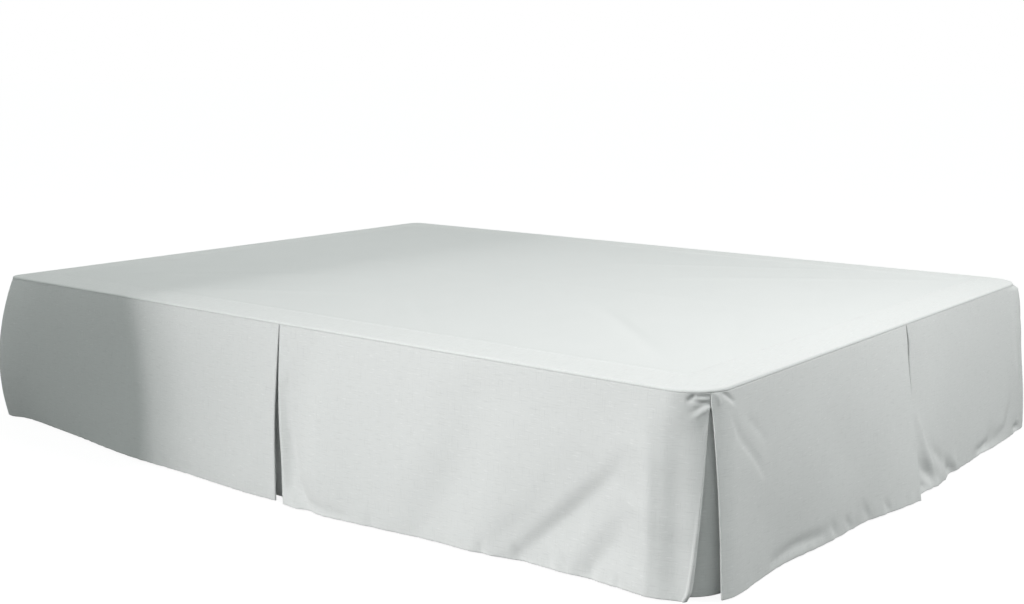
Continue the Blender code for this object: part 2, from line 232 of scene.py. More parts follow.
def deckClothFinish():
    look = deckCloth
    cloth = Finish("deckCloth")
    uv = cloth.node("ShaderNodeUVMap", {"uv_map": "cloth"})
    parts = cloth.node("ShaderNodeSeparateXYZ", values={0: uv})
    weave = weaveOf(cloth, parts.of("X"), parts.of("Y"), look["thread"])
    fibre = cloth.grain(uv, (170, 170, 1), 6.0)
    cloud = cloth.grain(uv, (6, 9, 1), 3.0)
    tone = cloth.blend(fibre * 0.5 + cloud * 0.4, look["colour"], look["mottleColour"])
    return cloth.done(
        Base_Color=tone,
        Roughness=look["roughness"] + fibre * 0.06,
        Normal=cloth.bumped(weave * 0.25 + fibre, 0.00022, 0.7),
        Specular_IOR_Level=0.2,
        Sheen_Weight=0.1,
    )


ticking = {
    "colour": (0.62, 0.61, 0.58),
    "stripe": (0.42, 0.44, 0.46),
    "fibre": (0.50, 0.49, 0.47),
    "pitch": 0.024,
    "twill": 0.0012,
}


def tickingFinish():
    cloth = Finish("ticking")
    point = cloth.node("ShaderNodeTexCoord", out=3)
    parts = cloth.node("ShaderNodeSeparateXYZ", values={0: point})
    x, y, z = parts.of("X"), parts.of("Y"), parts.of("Z")
    wave = cloth.sum("SINE", (x + y) * (2 * math.pi / ticking["pitch"]))
    stripe = cloth.between(wave, 0.80, 0.88)
    fine = cloth.between(cloth.sum("SINE", (x + y) * (6 * math.pi / ticking["pitch"])), 0.90, 0.96)
    twill = cloth.sum("SINE", (x + y + z) * (2 * math.pi / ticking["twill"]))
    fibre = cloth.grain(point, (220, 220, 220), 4.0)
    tone = cloth.blend(stripe * 0.55 + fine * 0.12, ticking["colour"], ticking["stripe"])
    tone = cloth.blend(fibre * 0.35, tone, ticking["fibre"])
    return cloth.done(
        Base_Color=tone,
        Roughness=0.82 + fibre * 0.1,
        Normal=cloth.bumped(twill * 0.5 + fibre, 0.0003, 0.6),
        Specular_IOR_Level=0.2,
        Sheen_Weight=0.15,
    )


piping = {"colour": (0.40, 0.41, 0.42), "fibre": (0.30, 0.31, 0.33)}


def pipingFinish():
    cloth = Finish("piping")
    point = cloth.node("ShaderNodeTexCoord", out=3)
    fibre = cloth.grain(point, (420, 420, 420), 3.0)
    tone = cloth.blend(fibre, piping["colour"], piping["fibre"])
    return cloth.done(Base_Color=tone, Roughness=0.8, Normal=cloth.bumped(fibre, 0.0004, 0.6))


railPaint = {"colour": (0.030, 0.031, 0.034), "worn": (0.10, 0.10, 0.11)}


def railPaintFinish():
    paint = Finish("railPaint")
    point = paint.node("ShaderNodeTexCoord", out=3)
    peel = paint.grain(point, (650, 650, 650), 3.0)
    scuff = paint.between(paint.grain(point, (40, 14, 90), 5.0), 0.62, 0.78)
    tone = paint.blend(scuff * 0.5, railPaint["colour"], railPaint["worn"])
    return paint.done(
        Base_Color=tone,
        Roughness=0.42 + scuff * 0.2 + peel * 0.1,
        Normal=paint.bumped(peel, 0.00015, 0.5),
        Metallic=0.0,
    )


legPlastic = {"colour": (0.022, 0.022, 0.024), "dust": (0.07, 0.068, 0.064)}


def legFinish():
    plastic = Finish("legPlastic")
    point = plastic.node("ShaderNodeTexCoord", out=3)
    fine = plastic.grain(point, (900, 900, 900), 2.0)
    dust = plastic.between(plastic.grain(point, (30, 30, 60), 4.0), 0.5, 0.8)
    tone = plastic.blend(dust * 0.5, legPlastic["colour"], legPlastic["dust"])
    grainy = plastic.bumped(fine, 0.0001, 0.4)
    return plastic.done(Base_Color=tone, Roughness=0.45 + dust * 0.25, Normal=grainy)


finishes = {
    "skirt": skirtClothFinish(),
    "deck": deckClothFinish(),
    "ticking": tickingFinish(),
    "piping": pipingFinish(),
    "rail": railPaintFinish(),
    "leg": legFinish(),
}
print("materials made")


def addPiece(name, bm, finish, smoothAngle=None, replaces=()):
    mesh = bpy.data.meshes.new(name)
    bm.to_mesh(mesh)
    bm.free()
    for look in finish if isinstance(finish, (list, tuple)) else [finish]:
        mesh.materials.append(finishes[look])
    mesh.shade_smooth()
    if smoothAngle is not None:
        mesh.set_sharp_from_angle(angle=math.radians(smoothAngle))
    piece = bpy.data.objects.new(name, mesh)
    bpy.context.scene.collection.objects.link(piece)
    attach(piece, "root")
    if replaces:
        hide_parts(*replaces)
    return piece


# How far each flat panel hangs out from the ring: the place along it, then the distance out at
# half height and at the hem
panelFlare = {
    "leftHead": (
        (-0.060, 0.036, 0.026), (-0.020, 0.042, 0.031), (0.030, 0.034, 0.016), (0.120, 0.024, 0.019),
        (0.320, 0.027, 0.040), (0.510, 0.034, 0.062), (0.750, 0.037, 0.068), (0.910, 0.039, 0.075),
        (1.050, 0.039, 0.075),
    ),
    "leftFoot": (
        (0.980, 0.042, 0.080), (1.070, 0.037, 0.080), (1.140, 0.045, 0.092), (1.240, 0.039, 0.077),
        (1.390, 0.033, 0.063), (1.550, 0.028, 0.056), (1.670, 0.023, 0.047), (1.800, 0.022, 0.053),
        (1.910, 0.024, 0.050), (2.000, 0.018, 0.055),
    ),
    "footLeft": (
        (-0.740, 0.016, 0.034), (-0.700, 0.016, 0.031), (-0.610, 0.016, 0.025), (-0.500, 0.017, 0.023),
        (-0.380, 0.023, 0.034), (-0.220, 0.026, 0.039), (-0.120, 0.033, 0.055), (0.020, 0.042, 0.077),
    ),
    "footRight": (
        (-0.020, 0.025, 0.050), (0.060, 0.029, 0.058), (0.120, 0.035, 0.060), (0.290, 0.029, 0.048),
        (0.500, 0.029, 0.051), (0.620, 0.030, 0.046), (0.740, 0.029, 0.041),
    ),
    "rightFoot": (
        (0.950, 0.034, 0.066), (1.110, 0.036, 0.071), (1.350, 0.030, 0.058), (1.610, 0.022, 0.045),
        (1.810, 0.024, 0.039), (2.000, 0.025, 0.036),
    ),
    "rightHead": (
        (-0.060, 0.024, 0.018), (-0.020, 0.026, 0.020), (0.060, 0.022, 0.018), (0.360, 0.026, 0.043),
        (0.670, 0.033, 0.061), (1.030, 0.035, 0.068),
    ),
}


# Creases, given one by one: the points that one runs through, as a place and a share of the height,
# how deep it goes, or how far it stands out below zero, and how far it reaches to each side, with
# after for its far side. swell is the part of an arch that its depth follows from end to end, and
# start how fast it sets in under the top seam.
def crease(*line, **shape):
    return {"line": line, **shape}


mainCrease = ((1.831, 0.47), (1.787, 0.59), (1.740, 0.72), (1.690, 0.855), (1.625, 1.03))
creases = {
    "leftHead": (
        crease((0.872, 0.06), (0.878, 0.20), depth=0.0012, reach=0.006),
        crease((0.600, 0.90), (0.612, 1.00), depth=0.0020, reach=0.007),
        crease((0.645, 0.93), (0.660, 1.00), depth=0.0020, reach=0.008),
        crease((0.725, 0.95), (0.760, 0.99), depth=0.0018, reach=0.010),
        crease((0.930, 0.40), (0.955, 0.75), (0.965, 0.98), depth=-0.0025, reach=0.030),
    ),
    "leftFoot": (
        crease(
            (1.862, 0.28), (1.851, 0.37), *mainCrease,
            depth=0.0108, reach=0.020, after=0.120, swell=(0.0, 0.80),
        ),
        crease((1.850, 0.28), *mainCrease, depth=0.0095, reach=0.090, after=0.140, swell=(0.05, 0.80)),
        crease((1.670, 0.73), (1.622, 0.85), (1.570, 1.00), depth=0.0030, reach=0.024, after=0.040),
        crease(
            (1.872, 0.58), (1.862, 0.68), (1.844, 0.79), (1.817, 0.90), (1.786, 1.02),
            depth=0.0150, reach=0.032, after=0.180, swell=(0.0, 0.62),
        ),
        crease(
            (1.944, 0.06), (1.946, 0.30), (1.953, 1.00),
            depth=0.0160, reach=0.029, after=0.030, swell=(0.05, 0.50),
        ),
        crease((1.892, 0.14), (1.903, 0.43), (1.912, 0.98), depth=-0.0018, reach=0.014, after=0.009),
        crease(
            (1.520, 0.25), (1.500, 0.55), (1.470, 0.75), (1.430, 0.98),
            depth=0.0090, reach=0.055, after=0.100,
        ),
        crease((1.340, 0.30), (1.330, 0.60), depth=0.0020, reach=0.050),
        crease(
            (1.022, 0.36), (1.044, 0.60), (1.057, 0.73), (1.065, 0.81), (1.077, 0.885), (1.100, 0.935),
            (1.126, 1.00),
            depth=0.0115, reach=0.012, after=0.030, swell=(0.12, 0.58),
        ),
        crease(
            (1.054, 0.60), (1.078, 0.77), (1.102, 0.885), (1.122, 0.94), (1.142, 1.00),
            depth=0.0085, reach=0.012, after=0.050, swell=(0.05, 0.60),
        ),
        crease((1.120, 0.95), (1.180, 0.97), (1.245, 0.975), depth=0.0022, reach=0.009),
        crease((1.296, 0.93), (1.304, 1.00), depth=0.0022, reach=0.006),
        crease((1.400, 0.94), (1.410, 1.00), depth=0.0018, reach=0.008),
        crease((1.560, 0.95), (1.566, 1.00), depth=0.0020, reach=0.006),
        crease((1.632, 0.94), (1.652, 1.00), depth=0.0026, reach=0.007),
        crease((1.700, 0.93), (1.712, 1.00), depth=0.0026, reach=0.007),
        crease((1.735, 0.92), (1.747, 0.99), depth=0.0026, reach=0.008),
        crease((1.790, 0.94), (1.800, 1.00), depth=0.0024, reach=0.008),
        crease((1.850, 0.95), (1.856, 1.00), depth=0.0020, reach=0.007),
        crease((1.962, 0.038), (1.970, 0.016), (1.970, -0.01), depth=0.0030, reach=0.0035, start=80),
        crease((1.962, 0.028), (1.982, 0.041), (2.004, 0.052), depth=0.0024, reach=0.0038, start=60),
        crease((1.972, 0.010), (2.000, 0.018), depth=0.0028, reach=0.0060, start=80),
        crease((1.974, 0.030), (1.990, 0.030), depth=-0.0022, reach=0.0035, start=60),
        crease((1.966, 0.132), (1.984, 0.092), (2.004, 0.062), depth=-0.0014, reach=0.0034, start=30),
        crease((1.968, 0.090), (1.983, 0.064), (2.002, 0.050), depth=0.0020, reach=0.0046, start=40),
        crease((1.984, 0.190), (1.994, 0.120), (2.002, 0.080), depth=0.0014, reach=0.0060, start=20),
    ),
    "footLeft": (
        crease((-0.712, -0.01), (-0.697, 0.026), (-0.680, 0.060), depth=0.0026, reach=0.0046, start=80),
        crease((-0.722, -0.01), (-0.714, 0.050), depth=-0.0018, reach=0.0045, start=80),
        crease(
            (-0.694, 0.08), (-0.668, 0.24), (-0.646, 0.30), (-0.620, 0.37), (-0.590, 0.47),
            depth=0.0019, reach=0.007, after=0.010,
        ),
        crease((-0.640, 0.15), (-0.603, 0.24), (-0.580, 0.30), depth=0.0014, reach=0.008),
        crease((-0.727, 0.12), (-0.731, 0.36), depth=-0.0014, reach=0.006),
        crease((-0.560, 0.955), (-0.470, 0.935), (-0.380, 0.94), depth=0.0042, reach=0.012),
        crease((-0.350, 0.90), (-0.330, 0.98), depth=0.0030, reach=0.009),
        crease((-0.290, 0.92), (-0.270, 0.99), depth=0.0030, reach=0.008),
        crease((-0.215, 0.90), (-0.195, 0.99), depth=0.0030, reach=0.009),
        crease((-0.140, 0.92), (-0.125, 1.00), depth=0.0028, reach=0.008),
        crease((-0.620, 0.60), (-0.560, 0.85), depth=0.0025, reach=0.050),
        crease((-0.330, 0.30), (-0.260, 0.70), depth=0.0020, reach=0.055),
    ),
    "footRight": (
        crease((0.040, 0.82), (0.062, 0.89), (0.094, 0.945), depth=0.0092, reach=0.017),
        crease((0.043, 0.52), (0.066, 0.74), (0.084, 0.86), (0.106, 0.99), depth=-0.0050, reach=0.010),
        crease((0.030, 0.95), (0.062, 0.985), depth=0.0045, reach=0.010),
        crease((0.098, 0.76), (0.122, 0.82), (0.146, 0.88), depth=0.0040, reach=0.014),
        crease((0.172, 0.90), (0.196, 0.965), (0.222, 1.00), depth=0.0085, reach=0.016),
        crease((0.224, 0.90), (0.240, 0.99), depth=-0.0030, reach=0.012),
        crease((0.372, 0.965), (0.402, 0.972), (0.440, 0.960), depth=0.0070, reach=0.012),
        crease(
            (0.600, 0.78), (0.560, 0.92), (0.500, 0.955), (0.440, 0.95),
            depth=0.0044, reach=0.014, after=0.028,
        ),
        crease((0.628, 0.965), (0.660, 0.975), depth=0.0070, reach=0.010),
        crease((0.660, 0.20), (0.668, 0.60), depth=-0.0030, reach=0.010),
        crease((0.742, -0.12), (0.742, 0.08), (0.740, 0.24), depth=-0.0140, reach=0.050, start=40),
    ),
    "rightFoot": (
        crease((1.880, 0.20), (1.800, 0.60), (1.690, 0.92), depth=0.0065, reach=0.028),
        crease((1.560, 0.25), (1.500, 0.60), (1.420, 0.90), depth=0.0040, reach=0.045),
        crease((1.100, 0.55), (1.120, 1.00), depth=0.0050, reach=0.020),
        crease((1.280, 0.93), (1.290, 1.00), depth=0.0020, reach=0.009),
        crease((1.700, 0.93), (1.712, 1.00), depth=0.0020, reach=0.009),
        crease((1.988, -0.12), (1.988, 0.08), (1.988, 0.24), depth=-0.0140, reach=0.050, start=40),
    ),
    "rightHead": (
        crease((0.760, 0.30), (0.820, 0.70), (0.840, 1.00), depth=0.0035, reach=0.040),
        crease((0.330, 0.40), (0.380, 0.95), depth=0.0035, reach=0.050),
        crease((0.560, 0.94), (0.570, 1.00), depth=0.0020, reach=0.009),
    ),
}

# The inverted pleats, each with its place, its opening's two edges as rows of a height and how far
# each stands from the pleat's top, how far the underlay hangs back, and its front folds' sizes
pleats = {
    "leftMiddle": {
        "place": 0.980,
        "edges": ((0.0, 0.0, 0.0), (0.5, 0.0225, 0.0322), (1.0, 0.057, 0.0808)),
        "setback": 0.022,
        "firstFold": 0.004,
        "secondFold": 0.009,
    },
    "leftCorner": {
        "place": sideRun + 0.078,
        "edges": (
            (0.00, 0.0008, -0.0008), (0.06, 0.0008, -0.0006), (0.12, -0.002, 0.002),
            (0.50, -0.0130, 0.0085), (0.95, -0.0260, 0.0090), (1.00, -0.0315, 0.009),
        ),
        "setback": 0.019,
        "firstFold": 0.012,
        "secondFold": 0.004,
    },
    "footMiddle": {
        "place": footMiddle + 0.043,
        "edges": (
            (0.00, 0.000, 0.000), (0.10, -0.008, 0.0055), (0.17, -0.018, 0.002), (0.24, -0.025, -0.003),
            (0.32, -0.030, -0.006), (0.42, -0.035, -0.0125), (0.53, -0.040, -0.026),
            (0.75, -0.046, -0.039), (1.00, -0.052, -0.045),
        ),
        "setback": 0.018,
        "firstFold": 0.004,
        "secondFold": 0.006,
    },
    "rightCorner": {
        "place": sideRun + 0.060,
        "edges": ((0.0, 0.0, 0.0), (0.5, -0.008, 0.008), (1.0, -0.020, 0.022)),
        "setback": 0.024,
        "firstFold": 0.008,
        "secondFold": 0.006,
    },
    "rightMiddle": {
        "place": 0.986,
        "edges": ((0.0, 0.0, 0.0), (0.5, -0.006, 0.006), (1.0, -0.014, 0.014)),
        "setback": 0.020,
        "firstFold": 0.006,
        "secondFold": 0.005,
    },
}

skirt = {
    "thickness": 0.0009,
    "topLevel": 0.3556,
    "hemLevel": 0.0060,
    "hemTurn": 0.0160,
    "hemGap": 0.0015,
    "pleatDepth": 0.075,
    "headReturn": 0.050,
    "layerStep": 0.0026,
    "columnStep": 0.0065,
    "rowCount": 54,
    "foldColumns": 12,
    "cornerColumns": 34,
    "returnColumns": 14,
    "sideSpan": 0.95,
    "footSpan": 0.70,
    "ripple": 0.0014,
    "pucker": 0.0017,
}


def readTable(rows, place):
    places = [row[0] for row in rows]
    place = min(max(place, places[0]), places[-1])
    after = min(max(bisect_right(places, place), 1), len(rows) - 1)
    left, right = rows[after - 1], rows[after]
    span = right[0] - left[0]
    share = (place - left[0]) / span
    values = []
    for column in (1, 2):
        slopes = []
        for at in (after - 1, after):
            before, beyond = max(at - 1, 0), min(at + 1, len(rows) - 1)
            rise = rows[beyond][column] - rows[before][column]
            slopes.append(rise / (rows[beyond][0] - rows[before][0]) * span)
        gap = right[column] - left[column]
        cubic = slopes[0] + slopes[1] - 2 * gap
        square = 3 * gap - 2 * slopes[0] - slopes[1]
        values.append(left[column] + share * (slopes[0] + share * (square + share * cubic)))
    return values


def fromHead(panel, ring):
    if panel.startswith("foot"):
        return ring - footMiddle
    return ringLength - ring if panel.startswith("right") else ring


dropHeight = skirt["topLevel"] - skirt["hemLevel"]


def creaseDepth(crease, place, height):
    points = [(along, down * dropHeight) for along, down in crease["line"]]
    here = (place, height * dropHeight)
    total = sum(math.dist(*pair) for pair in zip(points, points[1:]))
    nearest, share, passed, beyond = 1.0, 0.0, 0.0, False
    for start, end in zip(points, points[1:]):
        span = math.dist(start, end)
        run = ((here[0] - start[0]) * (end[0] - start[0]) + (here[1] - start[1]) * (end[1] - start[1])) / span
        run = min(max(run, 0.0), span)
        spot = (mix(start[0], end[0], run / span), mix(start[1], end[1], run / span))
        away = math.dist(here, spot)
        if away < nearest:
            nearest, share, beyond = away, (passed + run) / total, here[0] > spot[0]
        passed += span
    reach = crease.get("after", crease["reach"]) if beyond else crease["reach"]
    if nearest > 3 * reach:
        return 0.0
    swell = math.sin(math.pi * mix(*crease.get("swell", (0.12, 0.80)), share))
    swell *= min(crease.get("start", 5) * height, 1.0)
    return crease["depth"] * swell * math.exp(-((nearest / reach) ** 2))


def panelOut(panel, ring, height):
    place = fromHead(panel, ring)
    out = through(0.0, *readTable(panelFlare[panel], place), height)
    fade = min(5 * height, 1.0)
    out -= sum(creaseDepth(crease, place, height) for crease in creases[panel])
    seed = 1.7 * list(panelFlare).index(panel)
    soft = noise.noise(Vector((place * 8.0, height * 2.2, seed)))
    softer = noise.noise(Vector((place * 21.0, height * 4.0, seed + 5)))
    fine = noise.noise(Vector((place * 60.0, height * 6.0, seed + 9)))
    out += skirt["ripple"] * fade * (soft + 0.45 * softer)
    nearHem, nearTop = math.exp(-(1 - height) / 0.07), math.exp(-height / 0.05)
    return out + skirt["pucker"] * fine * (nearHem + 0.6 * nearTop * fade)


def fold(tip, outer, inner, turn, steps=8):
    radius = (outer - inner) / 2
    points = []
    for angle in spaced(0.0, math.pi, steps):
        points.append((tip - turn * radius * (1 - math.sin(angle)), inner + radius * (1 + math.cos(angle))))
    return points


def returnLayer(first, last, count):
    steps = spaced(0.0, 1.0, count)[1:-1]
    return [(mix(first[0], last[0], share), mix(first[1], last[1], share)) for share in steps]


def pleatLayers(name, before, after, height):
    pleat, step = pleats[name], skirt["layerStep"]
    way, ring = (-1, ringLength - pleat["place"]) if "right" in name else (1, pleat["place"])
    openOne, openTwo = readTable(pleat["edges"], height)
    tipOne, tipTwo = ring + way * (openOne - step / 2), ring + way * (openTwo + step / 2)
    endOne, endTwo = ring - way * skirt["pleatDepth"], ring + way * skirt["pleatDepth"]
    sizeOne = mix(step, pleat["firstFold"], height)
    sizeTwo = mix(step, pleat["secondFold"], height)
    sizeIn = mix(step, 1.6 * step, height)
    setback = 2 * step + pleat["setback"] * height
    outOne, outTwo = panelOut(before, tipOne, height), panelOut(after, tipTwo, height)
    backOne = panelOut(before, endOne, height) - setback
    backTwo = panelOut(after, endTwo, height) - setback
    nearest = min(outOne, outTwo) - setback

    def underlay(place):
        level = mix(backOne, backTwo, (place - endOne) / (endTwo - endOne))
        return max(min(level, nearest), -2 * step)

    count = skirt["foldColumns"]
    front = fold(tipOne, outOne, outOne - sizeOne, way)
    inner = fold(endOne, underlay(endOne) + sizeIn, underlay(endOne), -way)
    middle = [(place, underlay(place)) for place in spaced(endOne, endTwo, 2 * count)[1:-1]]
    first = front + returnLayer(front[-1], inner[0], count) + inner + middle
    front = fold(tipTwo, outTwo, outTwo - sizeTwo, -way)[::-1]
    inner = fold(endTwo, underlay(endTwo) + sizeIn, underlay(endTwo), way)[::-1]
    return first, inner + returnLayer(inner[-1], front[0], count) + front


def partAtSeam(second):  # the side and foot drops meet behind the corner pleat
    place, out = second[4]
    return second[:4] + [(place, out - 0.0006)], [(place, out + 0.0006)] + second[5:]


def panelRun(panel, start, end, count, height):
    arc = (sideRun, sideRun + cornerRun)
    bends = (*arc, ringLength - arc[0], ringLength - arc[1])
    bends = [place for place in bends if min(start, end) < place < max(start, end)]
    places = spaced(start, end, count)
    if bends:
        counts = (count, skirt["cornerColumns"])
        if abs(bends[0] - start) < abs(bends[0] - end):
            counts = counts[::-1]
        places = spaced(start, bends[0], counts[0]) + spaced(bends[0], end, counts[1])[1:]
    return [(ring, panelOut(panel, ring, height)) for ring in places[1:-1]]


def sidePath(side, height):
    turn, end = 0.0, -skirt["headReturn"]
    if side == "right":
        turn, end = ringLength, ringLength + skirt["headReturn"]
    head, foot = f"{side}Head", f"{side}Foot"
    columns = round(skirt["sideSpan"] / skirt["columnStep"])
    first, second = pleatLayers(f"{side}Middle", head, foot, height)
    corner, rest = pleatLayers(f"{side}Corner", foot, f"foot{side.capitalize()}", height)
    path = [(ring, panelOut(head, ring, height)) for ring in spaced(end, turn, skirt["returnColumns"])]
    path += panelRun(head, turn, first[0][0], columns, height)
    path += first + second
    path += panelRun(foot, second[-1][0], corner[0][0], columns, height)
    return path + corner + partAtSeam(rest)[0]


def footPath(height):
    start = partAtSeam(pleatLayers("leftCorner", "leftFoot", "footLeft", height)[1])[1]
    end = partAtSeam(pleatLayers("rightCorner", "rightFoot", "footRight", height)[1])[1]
    first, second = pleatLayers("footMiddle", "footLeft", "footRight", height)
    columns = round(skirt["footSpan"] / skirt["columnStep"])
    path = start + panelRun("footLeft", start[-1][0], first[0][0], columns, height)
    path += first + second
    path += panelRun("footRight", second[-1][0], end[-1][0], columns, height)
    return path + end[::-1]


def wrongSide(points, hand):  # each point's direction toward the inside of the cloth
    away = []
    for at in range(len(points)):
        along = points[min(at + 1, len(points) - 1)] - points[max(at - 1, 0)]
        away.append(Vector((-along.y, along.x, 0)).normalized() * hand)
    return away


def hangDrop(name, pathAt, hand, node):
    turn, gap = skirt["hemTurn"], skirt["hemGap"]
    stitchAt = 1 - (turn - 0.0005) / dropHeight
    heights = spaced(0.0, 0.12, 16) + spaced(0.12, 1.0, skirt["rowCount"])[1:]
    heights = sorted(heights + [0.006, stitchAt, 0.985, 0.995])
    rows, depths = [], []
    for height in heights:
        level = mix(skirt["topLevel"], skirt["hemLevel"], height)
        points = [ringPoint(*point) + Vector((0, 0, level)) for point in pathAt(height)]
        if height == 0.0:  # the top edge is turned in at its seam
            inward = wrongSide(points, hand)
            rows.append([point + away * 0.002 for point, away in zip(points, inward)])
            depths.append(dropHeight + 0.002)
        rows.append(points)
        depths.append(dropHeight * (1 - height))
    # The hem is turned up on the wrong side, following the cloth in front of it
    turnedUp = (0.5, -0.0005), (1.0, 0.0003), (1.0, 0.004), (1.0, 0.009), (1.0, turn - 0.0015), (0.9, turn)
    for share, lift in turnedUp:
        level, height = skirt["hemLevel"] + lift, 1 - max(lift, 0.0) / dropHeight
        points = [ringPoint(*point) + Vector((0, 0, level)) for point in pathAt(height)]
        rows.append([point + away * gap * share for point, away in zip(points, wrongSide(points, hand))])
        depths.append(-0.0005 - max(lift, 0.0))
    lengths = [0.0]
    middle = rows[len(heights) // 2]
    for pair in zip(middle, middle[1:]):
        lengths.append(lengths[-1] + (pair[1] - pair[0]).length)
    across = len(lengths)
    bm = bmesh.new()
    bmesh.ops.create_grid(bm, x_segments=across - 1, y_segments=len(rows) - 1, size=0.5)
    bm.verts.index_update()
    layer = bm.loops.layers.uv.new("cloth")
    for vert in bm.verts:
        row, column = divmod(vert.index, across)
        vert.co = rows[row][column]
    for face in bm.faces:
        for loop in face.loops:
            row, column = divmod(loop.vert.index, across)
            loop[layer].uv = (lengths[column], depths[row])
    if hand < 0:
        bmesh.ops.reverse_faces(bm, faces=bm.faces)
    piece = addPiece(name, bm, "skirt", replaces=[node])
    solidify = piece.modifiers.new("cloth", "SOLIDIFY")
    solidify.thickness = skirt["thickness"]
    solidify.offset = 0.0
    print(name, "hung, its cloth", round(lengths[-1], 3), "m wide, columns", across, "rows", len(rows))


# The size that each drop was cut to before it was hung
hangDrop("sideDropLeft", lambda height: sidePath("left", height), 1, "side_drop_left")
hangDrop("footDrop", footPath, 1, "foot_drop")
hangDrop("sideDropRight", lambda height: sidePath("right", height), -1, "side_drop_right")

deck = {
    "thickness": 0.0012,
    "level": 0.3609,
    "rim": 0.004,
    "lip": 0.0008,
    "border": 0.095,
    "seamReach": 0.006,
    "columns": 96,
    "rows": 132,
    "rimCloth": 0.0022,
    "clothShift": (0.0, 1.4),
    "cut": (1.55, 2.06),
}
# Ridges in the loose deck panel: from and to on the bed, how high and how far to each side
deckRidges = (
    {"ends": ((-0.60, -0.84), (-0.16, -0.36)), "rise": 0.0034, "reach": 0.018},
    {"ends": ((-0.50, -0.90), (-0.02, -0.66)), "rise": 0.0026, "reach": 0.015},
    {"ends": ((0.61, -0.86), (0.22, -0.30)), "rise": 0.0032, "reach": 0.018},
    {"ends": ((0.64, -0.62), (0.34, -0.05)), "rise": 0.0024, "reach": 0.014},
    {"ends": ((-0.62, 0.88), (-0.22, 0.34)), "rise": 0.0034, "reach": 0.020},
    {"ends": ((-0.66, 0.55), (-0.40, 0.12)), "rise": 0.0022, "reach": 0.014},
    {"ends": ((0.60, 0.90), (0.12, 0.50)), "rise": 0.0030, "reach": 0.018},
    {"ends": ((-0.64, -0.30), (-0.30, 0.06)), "rise": 0.0020, "reach": 0.016},
)
foldLines = {"across": (-0.50, 0.01, 0.52), "along": (0.0,), "rise": 0.0011, "reach": 0.0045}


def ridgeRise(spot, ends, rise, reach):
    (startX, startY), (endX, endY) = ends
    runX, runY = endX - startX, endY - startY
    span = math.hypot(runX, runY)
    along = min(max(((spot.x - startX) * runX + (spot.y - startY) * runY) / span, 0.0), span)
    away = math.dist(spot[:2], (startX + runX * along / span, startY + runY * along / span))
    swell = math.sin(math.pi * mix(0.15, 0.9, along / span))
    return rise * swell * math.exp(-((away / reach) ** 2)) if away < 3 * reach else 0.0


def deckRise(spot, inset):
    fade = min(max((inset - 0.004) / 0.05, 0.0), 1.0)
    rise = 0.0013 * (1 + noise.noise(Vector((spot.x * 3.1, spot.y * 2.3, 4.0))))
    rise += 0.0006 * (1 + noise.noise(Vector((spot.x * 11.0, spot.y * 8.0, 7.0))))
    rise += sum(ridgeRise(spot, **ridge) for ridge in deckRidges)
    for at, places in ((spot.y, foldLines["across"]), (spot.x, foldLines["along"])):
        rise += sum(foldLines["rise"] * math.exp(-abs(at - place) / foldLines["reach"]) for place in places)
    seamAway = abs(inset + deck["rim"] - deck["border"])
    along = spot.x + spot.y
    gather = 0.0011 * (1 + noise.noise(Vector((along * 34.0, 2.0, 0.0)))) * math.exp(-seamAway / 0.022)
    seam = 0.0009 * math.exp(-((seamAway / 0.0035) ** 2))
    return fade * (rise + gather + seam)


def grow(bm, edges, chain):  # edges extruded: the new ones, and the new point of each old one
    grown = bmesh.ops.extrude_edge_only(bm, edges=edges)["geom"]
    fresh = {item for item in grown if isinstance(item, bmesh.types.BMVert)}
    edges = [item for item in grown if isinstance(item, bmesh.types.BMEdge) and fresh.issuperset(item.verts)]
    moved = {}
    for old in chain:
        moved[old] = next(edge.other_vert(old) for edge in old.link_edges if edge.other_vert(old) in fresh)
    return edges, moved


def stops(ends, counts):  # evenly spaced values between each two ends
    values = [ends[0]]
    for first, last, count in zip(ends, ends[1:], counts):
        values += spaced(first, last, count)[1:]
    return values


